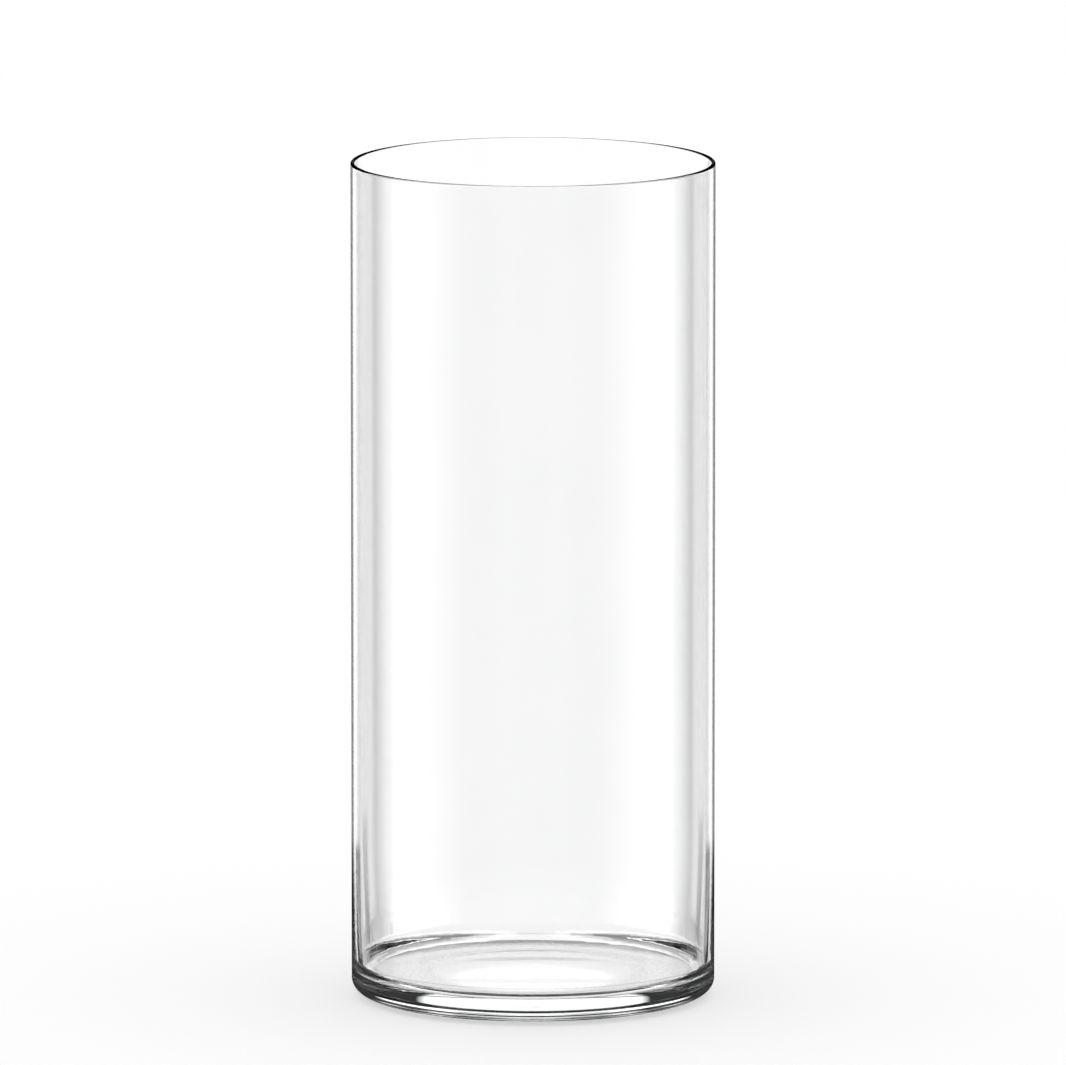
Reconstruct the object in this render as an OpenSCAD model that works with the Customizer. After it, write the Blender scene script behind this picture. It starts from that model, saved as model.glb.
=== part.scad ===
// Cylinder vase: one piece of clear glass with a thin straight wall and a thick foot.
// Millimetres, +Z up, origin at the centre of the ring that the vase stands on.

/* [Body] */
// Outside diameter of the straight wall
vase_d = 129.5; // [110:0.5:200]
// Height from the surface it stands on to the top of the rim
vase_h = 300; // [200:5:450]
// Thickness of the straight wall
wall_t = 1.6; // [1.5:0.1:3]

/* [Rim] */
// Radius of the fire-polished edges of the rim
rim_r = 0.7; // [0.2:0.1:0.7]

/* [Foot] */
// Height of the cavity's floor above the surface that the vase stands on
floor_h = 9.1; // [6:0.1:16]
// How far in from the outside wall the rounded heel reaches on the underside
heel_in = 13.5; // [6:0.5:18]
// Height at which the heel has become the straight wall
heel_h = 7; // [4:0.5:12]
// Fullness of the heel's curve, where 2 is an ellipse and more is squarer
heel_power = 2.5; // [2:0.1:3.5]
// Width of the flat ring that the vase stands on
ring_w = 14; // [5:1:20]
// Depth of the shallow hollow in the underside
punt_depth = 0.3; // [0.2:0.1:2]

/* [Inside of the foot] */
// Radius of the corner between the cavity's floor and its wall
corner_r = 5.2; // [2:0.2:8]
// Thickness that the wall gains on its way down to that corner
swell_t = 0.8; // [0.4:0.1:3]
// Height above the floor at which the wall starts to gain thickness
swell_h = 50; // [30:5:80]

/* [Hidden] */
$fn = 180;
outer_r = vase_d / 2;
bore_r = outer_r - wall_t;

// The heel is a quarter of a superellipse, from the standing ring up to the straight wall
heel_steps = 16;
heel_angles = [for (i = [0:heel_steps]) 90 * i / heel_steps];
heel_centre = outer_r - heel_in;
function heel_point(a) = [
    heel_centre + heel_in * pow(sin(a), 2 / heel_power),
    heel_h - heel_h * pow(cos(a), 2 / heel_power)
];

// The hollow in the underside is a cap of a large sphere, up to the inner edge of the standing ring
punt_r = heel_centre - ring_w;
punt_ball_r = (punt_r * punt_r + punt_depth * punt_depth) / (2 * punt_depth);

// The wall's inside leans inwards along a parabola, from upright at its top down to the corner
swell_top = floor_h + swell_h;
corner_top = floor_h + corner_r;
swell_steps = 12;
function swell_point(i) = [
    bore_r - swell_t * pow(i / swell_steps, 2),
    swell_top - (swell_top - corner_top) * i / swell_steps
];

// The corner's arc lies on the floor and runs into the last stretch of that lean without an edge
last_stretch = swell_point(swell_steps - 1) - swell_point(swell_steps);
lean_angle = atan2(last_stretch[0], last_stretch[1]);
corner_x = bore_r - swell_t - corner_r / cos(lean_angle);
touch = [corner_x + corner_r * cos(lean_angle), corner_top - corner_r * sin(lean_angle)];

// Half section of the vase as if it were filled with glass
module outside_section() {
    difference() {
        union() {
            polygon(concat([[0, heel_h], [0, 0]], [for (a = heel_angles) heel_point(a)]));
            translate([0, heel_h]) square([outer_r, vase_h - heel_h - rim_r]);
            translate([0, heel_h]) square([outer_r - rim_r, vase_h - heel_h]);
            translate([outer_r - rim_r, vase_h - rim_r]) circle(rim_r);
        }
        translate([0, punt_depth - punt_ball_r]) circle(punt_ball_r);
    }
}

// Half section of the space inside, up through the mouth, with the rim's inner edge rounded
module inside_section() {
    translate([0, swell_top]) square([bore_r, vase_h - rim_r - swell_top]);
    difference() {
        translate([0, vase_h - rim_r]) square([bore_r + rim_r, 2 * rim_r]);
        translate([bore_r + rim_r, vase_h - rim_r]) circle(rim_r);
    }
    polygon(concat([[0, touch[1]], [0, swell_top]], [for (i = [0:swell_steps]) swell_point(i)], [touch]));
    translate([0, floor_h]) square([corner_x, corner_r]);
    translate([corner_x, corner_top]) circle(corner_r);
}

// The vase: walls, foot and rim are one body of glass
module vase() {
    color([0.86, 0.91, 0.90, 0.35])
        rotate_extrude()
            difference() {
                outside_section();
                inside_section();
            }
}

vase();
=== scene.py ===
"""Clear glass cylinder vase: the looks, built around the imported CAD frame. Metres throughout."""

import math

import bmesh
import bpy
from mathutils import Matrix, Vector

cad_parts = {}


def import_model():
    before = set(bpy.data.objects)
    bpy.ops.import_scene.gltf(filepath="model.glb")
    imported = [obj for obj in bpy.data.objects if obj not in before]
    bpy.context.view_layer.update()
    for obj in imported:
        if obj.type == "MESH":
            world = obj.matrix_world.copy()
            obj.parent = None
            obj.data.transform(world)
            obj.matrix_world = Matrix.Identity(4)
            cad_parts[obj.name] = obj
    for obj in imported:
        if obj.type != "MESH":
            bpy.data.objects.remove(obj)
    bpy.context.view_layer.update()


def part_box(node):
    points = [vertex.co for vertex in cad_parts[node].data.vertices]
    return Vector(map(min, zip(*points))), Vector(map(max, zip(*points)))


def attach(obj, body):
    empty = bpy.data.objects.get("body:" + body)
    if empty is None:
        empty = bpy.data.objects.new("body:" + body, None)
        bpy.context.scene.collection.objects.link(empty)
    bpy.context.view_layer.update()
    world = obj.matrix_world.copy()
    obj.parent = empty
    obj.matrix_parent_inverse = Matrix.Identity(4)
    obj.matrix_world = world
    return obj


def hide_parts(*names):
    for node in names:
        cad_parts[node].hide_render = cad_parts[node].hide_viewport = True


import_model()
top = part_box("vase")[1]

MM = 0.001
MICRON = 0.001 * MM

# Sizes of the glass, as in the CAD model
HEIGHT = top.z
OUTER_R = top.x
WALL = 1.6 * MM
RIM_R = 0.7 * MM
FLOOR_H = 9.1 * MM
HEEL_IN = 13.5 * MM
HEEL_H = 7 * MM
HEEL_POWER = 2.5
RING_W = 14 * MM
PUNT_DEPTH = 0.3 * MM
CORNER_R = 5.2 * MM
SWELL_T = 0.8 * MM
SWELL_H = 50 * MM
BORE_R = OUTER_R - WALL
MID_WALL = OUTER_R - WALL / 2
SWELL_TOP = FLOOR_H + SWELL_H

# How finely the glass is divided: round the axis, and along the stretches of its section
SEGMENTS = 256
PUNT_STEPS = 24
RING_STEPS = 6
HEEL_STEPS = 48
OUTER_WALL_STEPS = 60
RIM_STEPS = 6
RIM_TOP_STEPS = 2
INNER_WALL_STEPS = 50
LEAN_STEPS = 100
CORNER_STEPS = 20
FLOOR_STEPS = 24
# Each straight stretch has one more loop this close to both its ends, so that it's shaded straight
HOLD = 0.05 * MM

# Unevenness of the surface low inside the wall: slow lobes round it, and level ripples that sway
LOBE_DEPTH = 0.003 * MM
LOBES = 7
LOBE_PHASE = 0.6
TWISTED_LOBES = 12
TWISTED_SHARE = 0.6
TWIST_H = 9 * MM
RIPPLE_DEPTH = 0.001 * MM
RIPPLE_PITCH = 4.2 * MM
RIPPLE_SWAYS = 3
# It fades out towards the corner below and the top of the swell above
CORNER_CLEAR = MM
UNEVEN_FULL_H = FLOOR_H + 0.6 * SWELL_H
# The standing ring is scuffed up to this height
SCUFF_H = 0.06 * MM

# The glass as a material. Each noise has its own number of cells per metre along X, Y and Z, its own detail,
# and some have the range of their values that shows
GLASS_IOR = 1.52
ABSORB_COLOR = (0.9, 0.92, 0.915, 1)
ABSORB_DENSITY = 5.0
CLEAN_COLOR = (1, 1, 1, 1)
SMEAR_COLOR = (0.985, 0.988, 0.987, 1)
SMEAR_CELLS = (38, 38, 22)
SMEAR_DETAIL = 4
SMEAR_HAZE_RANGE = (0.5, 0.8)
SMEAR_TINT_RANGE = (0.35, 0.8)
SMEAR_ROUGHNESS = 0.012
SCRATCH_CELLS = (900, 900, 900)
SCRATCH_DETAIL = 3
SCRATCH_RANGE = (0.45, 0.65)
SCUFF_ROUGHNESS = 0.35
# Bump of the material, as depths in microns
LINE_CELLS = (260, 260, 5)
LINE_DETAIL = 1
LINE_DEPTH = 0.3
FINE_RIPPLE_CELLS = (16, 16, 620)
FINE_RIPPLE_DETAIL = 1
FINE_RIPPLE_DEPTH = 6.0
FLUTE_CELLS = (420, 420, 25)
FLUTE_DETAIL = 0
FLUTE_DEPTH = 30.0

# The camera: where it stands, what it looks at, and how wide a view it has there
CAMERA_ELEVATION = math.radians(9.25)
CAMERA_DISTANCE = 6.0
FRAME_WIDTH = 0.3794
AIM_HEIGHT = 0.1668
SENSOR = 36
CLIP_START = 0.1
CLIP_END = 30

# The surroundings that only the glass sees are two shells, whose brightness is given as stops. ..._ROUND has
# it against the angle round from straight behind the vase, as the camera sees it, and ..._UP against the
# angle above level when the camera is in front. Both are in degrees.
DOME_R = 2.0
DOME_SEGMENTS = 64
DOME_RINGS = 32
# What is seen through the glass
BAND_ROUND = [(0, 1.09), (1.9, 1.09), (2.3, 1.28), (3.2, 1.28), (4.2, 1.2), (5.5, 0.85), (7.5, 0.85),
              (8.5, 0.4), (16, 0.4), (18, 1.7), (42, 1.7), (50, 0.0), (76, 0.0), (80, 0.9), (100, 0.9),
              (104, 0.0), (180, 0.0)]
BAND_UP = [(-90, 0.1), (-58, 0.1), (-50, 1.0), (0, 1.0), (1.5, 0.02), (90, 0.02)]
# How much of it a dark board low at each side takes away
BOARD_ROUND = [(0, 0.0), (23, 0.0), (25, 1.0), (34, 1.0), (36, 0.0), (180, 0.0)]
BOARD_UP = [(-90, 1.0), (-13.3, 1.0), (-12.6, 0.0), (90, 0.0)]
# The lit panel straight behind, crossed by a dark bar
PANEL_ROUND = [(0, 1.2), (26, 1.2), (29, 0.0), (180, 0.0)]
PANEL_UP = [(-90, 0.0), (-4, 0.0), (-3, 1.0), (10.7, 1.0), (11, 0.1), (12.8, 0.1), (13.1, 1.0), (24, 1.0),
            (25, 0.0), (90, 0.0)]
# What the glass mirrors on its outside
MIRROR_ROUND = [(0, 0.03), (20, 0.03), (40, 0.12), (180, 0.12)]
MIRROR_UP = [(-90, 1.0), (-3, 1.0), (0, 0.05), (90, 0.05)]

# The floor, which gives off some light itself and so stays pale
STUDIO_FLOOR_R = 2.5
STUDIO_FLOOR_SEGMENTS = 128
STUDIO_FLOOR_COLOR = (0.5, 0.5, 0.5, 1)
STUDIO_FLOOR_ROUGHNESS = 0.8
STUDIO_FLOOR_GLOW = 0.55

# The glowing floor under the vase, a painted pool of light with painted shade where it dims further out:
# brightness against the distance from the patch's middle, in millimetres
PATCH = [(0, 1.25), (26, 1.25), (32, 0.85), (44, 0.8), (62, 0.75), (66, 0.1), (80, 0.1)]
PATCH_REACH = PATCH[-1][0] * MM
PATCH_Y = -15 * MM
PATCH_R = OUTER_R - HEEL_IN / 2
PATCH_SEGMENTS = 96
PATCH_Z = -0.5 * MM

# How often light may bounce inside the glass before it's given up
BOUNCES = 24


def lerp(a, b, t):
    return a + (b - a) * t


def fade(value, start, end):
    """0 at start, 1 at end, with a soft beginning and end."""
    t = min(1.0, max(0.0, (value - start) / (end - start)))
    return t * t * (3 - 2 * t)


def arc(centre, radius, start, end, steps):
    """Points on a circle from one angle to another, in degrees, the first left out."""
    points = []
    for i in range(1, steps + 1):
        a = math.radians(lerp(start, end, i / steps))
        points.append((centre[0] + radius * math.cos(a), centre[1] + radius * math.sin(a)))
    return points


def straight(start, end, steps):
    """Points on a line, the first left out, with one more close to each end."""
    near = HOLD / math.dist(start, end)
    parts = [near] + [i / steps for i in range(1, steps)] + [1 - near, 1]
    return [(lerp(start[0], end[0], t), lerp(start[1], end[1], t)) for t in parts]


def heel():
    """Points up the rounded heel, from the standing ring to the wall: a quarter of a superellipse."""
    points = []
    for i in range(1, HEEL_STEPS + 1):
        a = math.radians(90 * i / HEEL_STEPS)
        across = HEEL_IN * math.sin(a) ** (2 / HEEL_POWER)
        down = HEEL_H * math.cos(a) ** (2 / HEEL_POWER)
        points.append((OUTER_R - HEEL_IN + across, HEEL_H - down))
    return points


def lean():
    """Points down the wall's inside where it gains thickness towards the corner: a parabola."""
    points = []
    for i in range(1, LEAN_STEPS + 1):
        t = i / LEAN_STEPS
        points.append((BORE_R - SWELL_T * t * t, SWELL_TOP - (SWELL_H - CORNER_R) * t))
    return points


def section():
    """The glass's half section as (radius, height) points, from the underside's centre to the floor's."""
    punt_r = OUTER_R - HEEL_IN - RING_W
    ball_r = (punt_r ** 2 + PUNT_DEPTH ** 2) / (2 * PUNT_DEPTH)
    punt_edge = math.degrees(math.acos(punt_r / ball_r))
    lean_angle = math.atan(2 * SWELL_T / (SWELL_H - CORNER_R))
    corner_x = BORE_R - SWELL_T - CORNER_R / math.cos(lean_angle)
    line = [(0.0, PUNT_DEPTH)]
    line += arc((0, PUNT_DEPTH - ball_r), ball_r, 90, punt_edge, PUNT_STEPS)
    line += straight(line[-1], (OUTER_R - HEEL_IN, 0.0), RING_STEPS)
    line += heel()
    line += straight(line[-1], (OUTER_R, HEIGHT - RIM_R), OUTER_WALL_STEPS)
    line += arc((OUTER_R - RIM_R, HEIGHT - RIM_R), RIM_R, 0, 90, RIM_STEPS)
    line += straight(line[-1], (BORE_R + RIM_R, HEIGHT), RIM_TOP_STEPS)
    line += arc((BORE_R + RIM_R, HEIGHT - RIM_R), RIM_R, 90, 180, RIM_STEPS)
    line += straight(line[-1], (BORE_R, SWELL_TOP), INNER_WALL_STEPS)
    line += lean()
    line += arc((corner_x, FLOOR_H + CORNER_R), CORNER_R, -math.degrees(lean_angle), -90, CORNER_STEPS)
    line += straight(line[-1], (0.0, FLOOR_H), FLOOR_STEPS)
    return line


def unevenness(radius, height):
    """1 on the lower inside of the wall, the least even part, fading to 0 at the corner and upwards."""
    if radius > MID_WALL or height < FLOOR_H + CORNER_CLEAR:
        return 0.0
    near_floor = fade(height, FLOOR_H + CORNER_CLEAR, FLOOR_H + CORNER_R)
    return near_floor * fade(height, SWELL_TOP, UNEVEN_FULL_H)


def mould_marks(radius, height):
    """1 on the heel and on the inside corner, where the mould leaves short upright marks."""
    if height < FLOOR_H:
        low = fade(height, 1.5 * HEEL_H, HEEL_H)
        return low * fade(radius, OUTER_R - HEEL_IN, OUTER_R - HEEL_IN / 2)
    if radius > MID_WALL:
        return 0.0
    low = fade(height, FLOOR_H + 2 * CORNER_R, FLOOR_H + CORNER_R)
    return low * fade(radius, BORE_R - 2 * CORNER_R, BORE_R)


def scuffs(height):
    """1 where the glass touches the table, fading to 0 just above it."""
    return fade(height, SCUFF_H, 0.0)


def wave(angle, height):
    """How far the lower inside of the wall departs from round: slow lobes and level ripples."""
    lobes = math.sin(LOBES * angle + LOBE_PHASE)
    lobes += TWISTED_SHARE * math.sin(TWISTED_LOBES * angle + height / TWIST_H)
    sway = math.sin(RIPPLE_SWAYS * angle)
    ripples = math.sin(height / RIPPLE_PITCH * 2 * math.pi + sway)
    return LOBE_DEPTH * lobes + RIPPLE_DEPTH * ripples


def mesh_from(bm, name):
    mesh = bpy.data.meshes.new(name)
    bm.to_mesh(mesh)
    bm.free()
    return mesh


def vase_mesh():
    """Turns the section about Z. Its first and last points are the two poles."""
    bm = bmesh.new()
    uneven = bm.verts.layers.float.new("uneven")
    scuffed = bm.verts.layers.float.new("scuffed")
    marked = bm.verts.layers.float.new("marked")
    line = section()
    rings = []
    for radius, height in line[1:-1]:
        weight = unevenness(radius, height)
        ring = []
        for i in range(SEGMENTS):
            a = 2 * math.pi * i / SEGMENTS
            r = radius - weight * wave(a, height)
            vert = bm.verts.new((r * math.cos(a), r * math.sin(a), height))
            vert[uneven] = weight
            vert[scuffed] = scuffs(height)
            vert[marked] = mould_marks(radius, height)
            ring.append(vert)
        rings.append(ring)
    under_pole = bm.verts.new((0, 0, line[0][1]))
    floor_pole = bm.verts.new((0, 0, line[-1][1]))
    for i in range(SEGMENTS):
        j = (i + 1) % SEGMENTS
        bm.faces.new((under_pole, rings[0][j], rings[0][i]))
        for low, high in zip(rings, rings[1:]):
            bm.faces.new((low[i], low[j], high[j], high[i]))
        bm.faces.new((rings[-1][i], rings[-1][j], floor_pole))
    bm.normal_update()
    mesh = mesh_from(bm, "vase_glass")
    mesh.shade_smooth()
    return mesh


def math_node(nt, operation, *inputs):
    """The result of a Math node, whose inputs are numbers or other nodes' results."""
    node = nt.nodes.new("ShaderNodeMath")
    node.operation = operation
    for socket, value in zip(node.inputs, inputs):
        if isinstance(value, (int, float)):
            socket.default_value = value
        else:
            nt.links.new(value, socket)
    return node.outputs[0]


def noise(nt, coord, cells, detail):
    """Noise with its own number of cells per metre along each axis."""
    mapping = nt.nodes.new("ShaderNodeMapping")
    mapping.inputs["Scale"].default_value = cells
    nt.links.new(coord, mapping.inputs["Vector"])
    node = nt.nodes.new("ShaderNodeTexNoise")
    node.inputs["Scale"].default_value = 1.0
    node.inputs["Detail"].default_value = detail
    nt.links.new(mapping.outputs[0], node.inputs["Vector"])
    return node.outputs["Fac"]


def spread(nt, value, span, most):
    """0 up to the start of the span, most from its end on, and in step between them."""
    node = nt.nodes.new("ShaderNodeMapRange")
    node.inputs["From Min"].default_value = span[0]
    node.inputs["From Max"].default_value = span[1]
    node.inputs["To Min"].default_value = 0.0
    node.inputs["To Max"].default_value = most
    nt.links.new(value, node.inputs["Value"])
    return node.outputs["Result"]


def painted(nt, name):
    """A weight that vase_mesh gave to each vertex."""
    node = nt.nodes.new("ShaderNodeAttribute")
    node.attribute_name = name
    return node.outputs["Fac"]


def glass_roughness(nt, coord, smears):
    """Faint smears all over, and scratches on the standing ring."""
    haze = spread(nt, smears, SMEAR_HAZE_RANGE, SMEAR_ROUGHNESS)
    scratches = noise(nt, coord, SCRATCH_CELLS, SCRATCH_DETAIL)
    scratches = spread(nt, scratches, SCRATCH_RANGE, SCUFF_ROUGHNESS)
    scratches = math_node(nt, "MULTIPLY", scratches, painted(nt, "scuffed"))
    return math_node(nt, "ADD", haze, scratches)


def glass_tint(nt, smears):
    tint = nt.nodes.new("ShaderNodeMix")
    tint.data_type = "RGBA"
    tint.inputs["A"].default_value = CLEAN_COLOR
    tint.inputs["B"].default_value = SMEAR_COLOR
    nt.links.new(spread(nt, smears, SMEAR_TINT_RANGE, 1.0), tint.inputs["Factor"])
    return tint.outputs["Result"]


def glass_bump(nt, coord):
    """Draw lines down the wall, finer level ripples low inside it, and the mould's upright marks."""
    lines = noise(nt, coord, LINE_CELLS, LINE_DETAIL)
    lines = math_node(nt, "MULTIPLY", lines, LINE_DEPTH)
    ripples = noise(nt, coord, FINE_RIPPLE_CELLS, FINE_RIPPLE_DETAIL)
    ripples = math_node(nt, "MULTIPLY", ripples, FINE_RIPPLE_DEPTH)
    ripples = math_node(nt, "MULTIPLY", ripples, painted(nt, "uneven"))
    flutes = noise(nt, coord, FLUTE_CELLS, FLUTE_DETAIL)
    flutes = math_node(nt, "MULTIPLY", flutes, FLUTE_DEPTH)
    flutes = math_node(nt, "MULTIPLY", flutes, painted(nt, "marked"))
    microns = math_node(nt, "ADD", math_node(nt, "ADD", lines, ripples), flutes)
    bump = nt.nodes.new("ShaderNodeBump")
    bump.inputs["Strength"].default_value = 1.0
    bump.inputs["Distance"].default_value = MICRON
    nt.links.new(microns, bump.inputs["Height"])
    return bump.outputs["Normal"]


def glass():
    """Clear glass with a slight absorption, smeared, scuffed and uneven in places."""
    mat = bpy.data.materials.new("clear_glass")
    mat.use_nodes = True
    nt = mat.node_tree
    bsdf = nt.nodes["Principled BSDF"]
    bsdf.inputs["Transmission Weight"].default_value = 1.0
    bsdf.inputs["IOR"].default_value = GLASS_IOR
    coord = nt.nodes.new("ShaderNodeTexCoord").outputs["Object"]
    smears = noise(nt, coord, SMEAR_CELLS, SMEAR_DETAIL)
    nt.links.new(glass_roughness(nt, coord, smears), bsdf.inputs["Roughness"])
    nt.links.new(glass_tint(nt, smears), bsdf.inputs["Base Color"])
    nt.links.new(glass_bump(nt, coord), bsdf.inputs["Normal"])
    absorb = nt.nodes.new("ShaderNodeVolumeAbsorption")
    absorb.inputs["Color"].default_value = ABSORB_COLOR
    absorb.inputs["Density"].default_value = ABSORB_DENSITY
    nt.links.new(absorb.outputs[0], nt.nodes["Material Output"].inputs["Volume"])
    return mat


def placed(name, mesh, material):
    """A mesh with its material, as an object in the scene."""
    obj = bpy.data.objects.new(name, mesh)
    bpy.context.scene.collection.objects.link(obj)
    mesh.materials.append(material)
    return obj


def camera():
    data = bpy.data.cameras.new("camera")
    data.sensor_width = SENSOR
    data.lens = SENSOR * CAMERA_DISTANCE / FRAME_WIDTH
    data.clip_start = CLIP_START
    data.clip_end = CLIP_END
    cam = bpy.data.objects.new("camera", data)
    bpy.context.scene.collection.objects.link(cam)
    centre = Vector((0, 0, HEIGHT / 2))
    back = Vector((0, -math.cos(CAMERA_ELEVATION), math.sin(CAMERA_ELEVATION)))
    cam.location = centre + back * CAMERA_DISTANCE
    look = Vector((0, 0, AIM_HEIGHT)) - cam.location
    cam.rotation_euler = look.to_track_quat("-Z", "Y").to_euler()
    bpy.context.scene.camera = cam
    return cam


def graded(nt, place, stops):
    """Brightness read off stops. The place is 0 at the first stop and 1 at the last."""
    first = stops[0][0]
    last = stops[-1][0]
    node = nt.nodes.new("ShaderNodeValToRGB")
    elements = node.color_ramp.elements
    elements.remove(elements[-1])
    for i, (at, value) in enumerate(stops):
        position = (at - first) / (last - first)
        element = elements[0] if i == 0 else elements.new(position)
        element.position = position
        element.color = (value, value, value, 1)
    nt.links.new(place, node.inputs[0])
    return node.outputs[0]


def emitter(name, strength):
    """A material that only gives off light. strength makes its brightness from its coordinates."""
    mat = bpy.data.materials.new(name)
    mat.use_nodes = True
    nt = mat.node_tree
    nt.nodes.clear()
    out = nt.nodes.new("ShaderNodeOutputMaterial")
    emit = nt.nodes.new("ShaderNodeEmission")
    coord = nt.nodes.new("ShaderNodeTexCoord").outputs["Object"]
    nt.links.new(strength(nt, coord), emit.inputs["Strength"])
    nt.links.new(emit.outputs[0], out.inputs["Surface"])
    return mat


def for_glass_only(obj):
    obj.visible_camera = False
    obj.visible_diffuse = False
    obj.visible_shadow = False


def round_and_up(nt, coord):
    """The angle round from straight behind and the angle above level, as places on ..._ROUND and ..._UP."""
    split = nt.nodes.new("ShaderNodeSeparateXYZ")
    nt.links.new(coord, split.inputs[0])
    x, y, z = split.outputs
    turn = math_node(nt, "ARCTAN2", math_node(nt, "ABSOLUTE", x), y)
    turn = math_node(nt, "DIVIDE", turn, math.pi)
    level = math_node(nt, "ADD", math_node(nt, "MULTIPLY", x, x), math_node(nt, "MULTIPLY", y, y))
    level = math_node(nt, "SQRT", level)
    up = math_node(nt, "ARCTAN2", z, level)
    up = math_node(nt, "ADD", math_node(nt, "DIVIDE", up, math.pi), 0.5)
    return turn, up


def seen_through(nt, coord):
    turn, up = round_and_up(nt, coord)
    band = math_node(nt, "MULTIPLY", graded(nt, turn, BAND_ROUND), graded(nt, up, BAND_UP))
    board = math_node(nt, "MULTIPLY", graded(nt, turn, BOARD_ROUND), graded(nt, up, BOARD_UP))
    band = math_node(nt, "MULTIPLY", band, math_node(nt, "SUBTRACT", 1.0, board))
    panel = math_node(nt, "MULTIPLY", graded(nt, turn, PANEL_ROUND), graded(nt, up, PANEL_UP))
    return math_node(nt, "MAXIMUM", band, panel)


def mirrored(nt, coord):
    turn, up = round_and_up(nt, coord)
    return math_node(nt, "MULTIPLY", graded(nt, turn, MIRROR_ROUND), graded(nt, up, MIRROR_UP))


def dome(cam, name, strength):
    """A shell of surroundings that only the glass sees, carried by the camera."""
    bm = bmesh.new()
    bmesh.ops.create_uvsphere(bm, u_segments=DOME_SEGMENTS, v_segments=DOME_RINGS, radius=DOME_R)
    obj = placed(name, mesh_from(bm, name), emitter(name, strength))
    for_glass_only(obj)
    obj.location = (0, 0, HEIGHT / 2)
    bpy.context.view_layer.update()
    obj.parent = cam
    obj.matrix_parent_inverse = cam.matrix_world.inverted()
    return obj


def disc(radius, segments, name):
    bm = bmesh.new()
    bmesh.ops.create_circle(bm, cap_ends=True, segments=segments, radius=radius)
    return mesh_from(bm, name)


def floor():
    """A plain pale floor, which the glass doesn't see."""
    mat = bpy.data.materials.new("studio_floor")
    mat.use_nodes = True
    bsdf = mat.node_tree.nodes["Principled BSDF"]
    bsdf.inputs["Base Color"].default_value = STUDIO_FLOOR_COLOR
    bsdf.inputs["Roughness"].default_value = STUDIO_FLOOR_ROUGHNESS
    bsdf.inputs["Emission Color"].default_value = (1, 1, 1, 1)
    bsdf.inputs["Emission Strength"].default_value = STUDIO_FLOOR_GLOW
    mesh = disc(STUDIO_FLOOR_R, STUDIO_FLOOR_SEGMENTS, "studio_floor")
    obj = placed("studio_floor", mesh, mat)
    obj.visible_glossy = False
    obj.visible_transmission = False


# Painted light and shade of the patch: bright in its middle, dimmer further out, nearly dark at the back of
# its edge
def patch_light(nt, coord):
    away = nt.nodes.new("ShaderNodeVectorMath")
    away.operation = "DISTANCE"
    away.inputs[1].default_value = (0, PATCH_Y, 0)
    nt.links.new(coord, away.inputs[0])
    return graded(nt, math_node(nt, "DIVIDE", away.outputs["Value"], PATCH_REACH), PATCH)


def painted_light_patch():
    """A glowing disc under the foot, which only the glass sees: a painted pool of light on the floor, with
    painted shade where it dims.
    """
    mesh = disc(PATCH_R, PATCH_SEGMENTS, "painted_light_patch")
    obj = placed("painted_light_patch", mesh, emitter("painted_light_patch", patch_light))
    obj.location = (0, 0, PATCH_Z)
    for_glass_only(obj)


def world():
    studio = bpy.data.worlds.new("studio")
    bpy.context.scene.world = studio
    studio.use_nodes = True
    background = studio.node_tree.nodes["Background"]
    background.inputs["Color"].default_value = (1, 1, 1, 1)
    background.inputs["Strength"].default_value = 1.0


vase = placed("vase_glass", vase_mesh(), glass())
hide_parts("vase")
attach(vase, "root")

cam = camera()
dome(cam, "light_dome", seen_through).visible_glossy = False
dome(cam, "mirror_dome", mirrored).visible_transmission = False
floor()
painted_light_patch()
world()
scene = bpy.context.scene
scene.view_settings.view_transform = "Standard"
scene.cycles.max_bounces = BOUNCES
scene.cycles.transmission_bounces = BOUNCES
scene.cycles.glossy_bounces = BOUNCES

bpy.context.view_layer.update()
